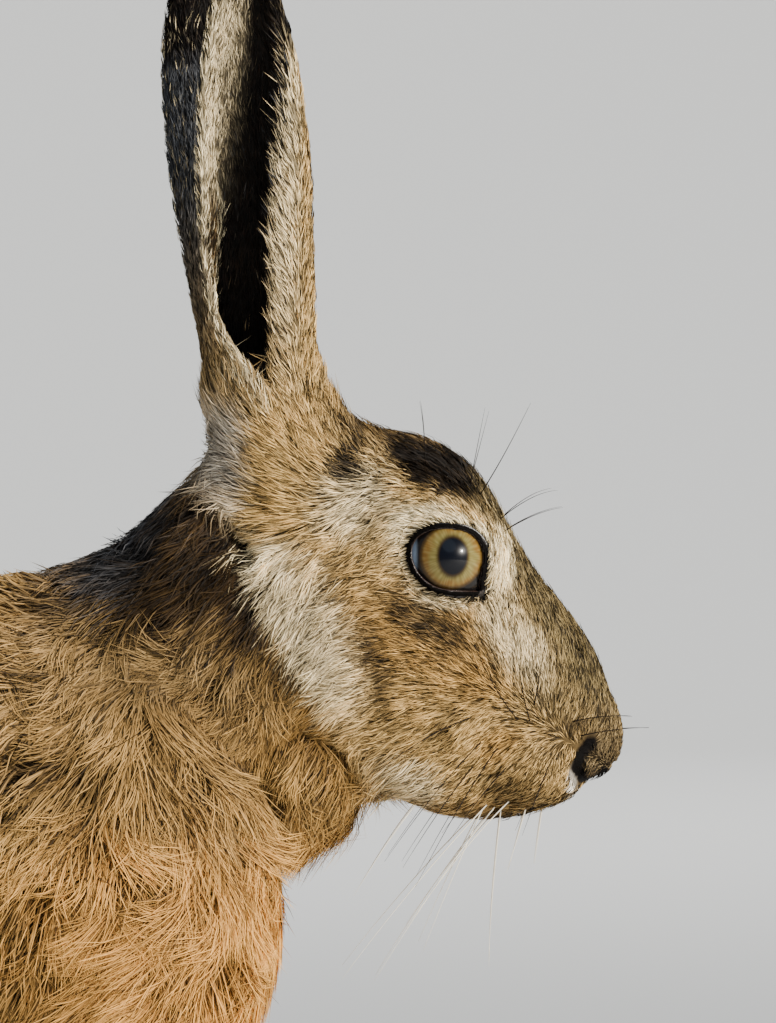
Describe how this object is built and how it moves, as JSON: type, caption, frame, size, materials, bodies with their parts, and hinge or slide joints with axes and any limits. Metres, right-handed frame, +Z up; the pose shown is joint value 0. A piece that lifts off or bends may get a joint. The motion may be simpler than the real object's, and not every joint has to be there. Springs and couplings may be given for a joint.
{
  "type": "brown hare model",
  "caption": "Life-size still model of a brown hare sitting upright on straight forelegs, ears raised, standing on its own soles.",
  "frame": {"origin": "on the floor, centred under the hare's bounding box", "axes": "+X the way the hare faces, +Y its left side, +Z up"},
  "size_m": [0.45, 0.1658, 0.4274],
  "materials": {
    "coat": "hair, ticked tan, buff and dark brown, matt",
    "tail_coat": "hair, white below and black along the top, matt",
    "eye": "wet gloss, amber iris and dark pupil",
    "skin": "bare skin of the lids and the mouth, moist",
    "claw": "horn, half gloss"
  },
  "bodies": {
    "root": {"chest": "coat", "ear_left": "coat", "ear_right": "coat", "eye_left": "eye", "eye_right": "eye", "foreleg_left": "coat", "foreleg_right": "coat", "forepaw_left": "coat", "forepaw_left_claw_1": "claw", "forepaw_left_claw_2": "claw", "forepaw_left_claw_3": "claw", "forepaw_left_claw_4": "claw", "forepaw_right": "coat", "forepaw_right_claw_1": "claw", "forepaw_right_claw_2": "claw", "forepaw_right_claw_3": "claw", "forepaw_right_claw_4": "claw", "haunch_left": "coat", "haunch_right": "coat", "head": "coat", "hindfoot_left": "coat", "hindfoot_left_claw_1": "claw", "hindfoot_left_claw_2": "claw", "hindfoot_left_claw_3": "claw", "hindfoot_left_claw_4": "claw", "hindfoot_right": "coat", "hindfoot_right_claw_1": "claw", "hindfoot_right_claw_2": "claw", "hindfoot_right_claw_3": "claw", "hindfoot_right_claw_4": "claw", "neck": "coat", "shank_left": "coat", "shank_right": "coat", "shoulder_left": "coat", "shoulder_right": "coat", "tail": "tail_coat", "trunk": "coat"}
  },
  "joints": []
}
